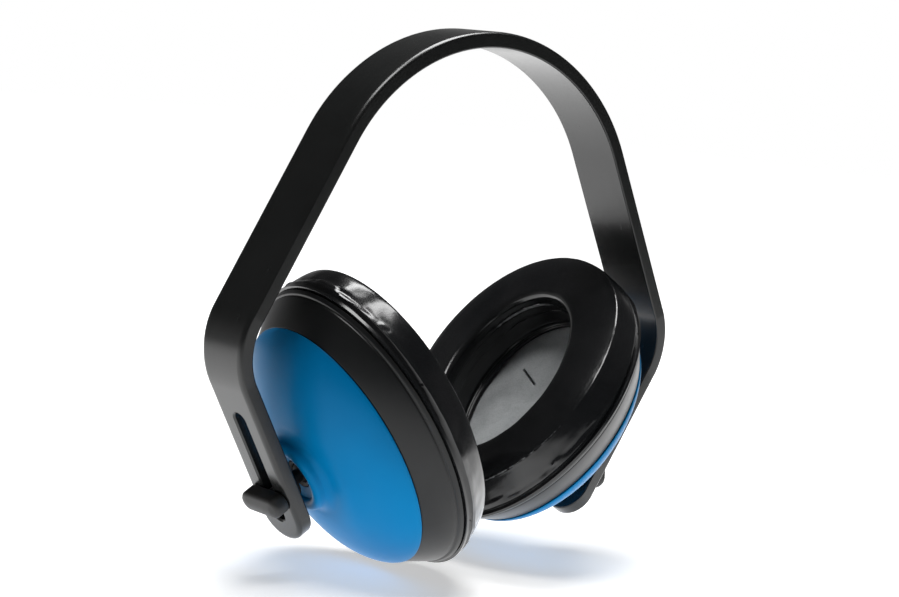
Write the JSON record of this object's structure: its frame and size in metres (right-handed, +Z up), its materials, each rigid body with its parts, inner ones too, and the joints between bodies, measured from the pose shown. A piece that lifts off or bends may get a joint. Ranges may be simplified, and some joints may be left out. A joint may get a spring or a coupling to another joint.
{
  "type": "earmuff hearing protector",
  "caption": "Over-the-head earmuff with a springy slotted headband and oval ear cups on sliding ball studs, with sealed vinyl ear cushions.",
  "frame": {"origin": "on the headband's underside at its top centre, where the band rests on the head", "axes": "+Z up, +X from the left cup to the right cup, Y across the band's width; the wearer may face either way"},
  "size_m": [0.1928, 0.1018, 0.1728],
  "materials": {
    "band_plastic": "satin black acetal with polished bevel edges",
    "knob_plastic": "matte black moulded plastic",
    "stud_plastic": "satin black moulded plastic",
    "socket_plastic": "smooth black moulded plastic",
    "cup_plastic": "smooth satin-gloss blue moulded plastic",
    "base_plastic": "satin black moulded plastic",
    "liner_foam": "grey open-cell foam",
    "plate_plastic": "plain black moulded plastic",
    "cushion_foam": "soft cream polyurethane foam",
    "cushion_vinyl": "glossy black vinyl skin with fine creases and welded seams"
  },
  "bodies": {
    "headband": {"headband": "band_plastic"},
    "left_stud": {"left_knob": "knob_plastic", "left_ball_stud": "stud_plastic"},
    "left_belt": {"left_socket_belt": "socket_plastic"},
    "left_cap": {"left_socket_cap": "socket_plastic"},
    "left_cup": {"left_cup_shell": "cup_plastic", "left_base_ring": "base_plastic", "left_foam_liner": "liner_foam", "left_cushion_plate": "plate_plastic", "left_cushion_foam": "cushion_foam", "left_cushion_cover": "cushion_vinyl"},
    "right_stud": {"right_knob": "knob_plastic", "right_ball_stud": "stud_plastic"},
    "right_belt": {"right_socket_belt": "socket_plastic"},
    "right_cap": {"right_socket_cap": "socket_plastic"},
    "right_cup": {"right_cup_shell": "cup_plastic", "right_base_ring": "base_plastic", "right_foam_liner": "liner_foam", "right_cushion_plate": "plate_plastic", "right_cushion_foam": "cushion_foam", "right_cushion_cover": "cushion_vinyl"}
  },
  "joints": [
    {"name": "left_slide", "type": "slide", "parent": "headband", "child": "left_stud", "axis": [0.5299, 0, -0.848], "range_m": [-0.014, 0.006]},
    {"name": "left_tilt", "type": "hinge", "parent": "left_stud", "child": "left_belt", "pos_m": [-0.05842, 0, -0.13616], "axis": [0, -1, 0], "range_deg": [-15, 4.5]},
    {"name": "left_swing", "type": "hinge", "parent": "left_belt", "child": "left_cap", "pos_m": [-0.05842, 0, -0.13616], "axis": [-0.5344, 0, 0.8453], "range_deg": [-12, 12]},
    {"name": "left_spin", "type": "hinge", "parent": "left_cap", "child": "left_cup", "pos_m": [-0.05842, 0, -0.13616], "axis": [0.8415, -0.0941, 0.532], "continuous": true},
    {"name": "right_slide", "type": "slide", "parent": "headband", "child": "right_stud", "axis": [-0.5299, 0, -0.848], "range_m": [-0.006, 0.004]},
    {"name": "right_tilt", "type": "hinge", "parent": "right_stud", "child": "right_belt", "pos_m": [0.06101, 0, -0.13201], "axis": [0, 1, 0], "range_deg": [-20, 8]},
    {"name": "right_swing", "type": "hinge", "parent": "right_belt", "child": "right_cap", "pos_m": [0.06101, 0, -0.13201], "axis": [-0.632, 0, -0.7749], "range_deg": [-18, 12]},
    {"name": "right_spin", "type": "hinge", "parent": "right_cap", "child": "right_cup", "pos_m": [0.06101, 0, -0.13201], "axis": [-0.7632, 0.1736, 0.6224], "continuous": true}
  ]
}
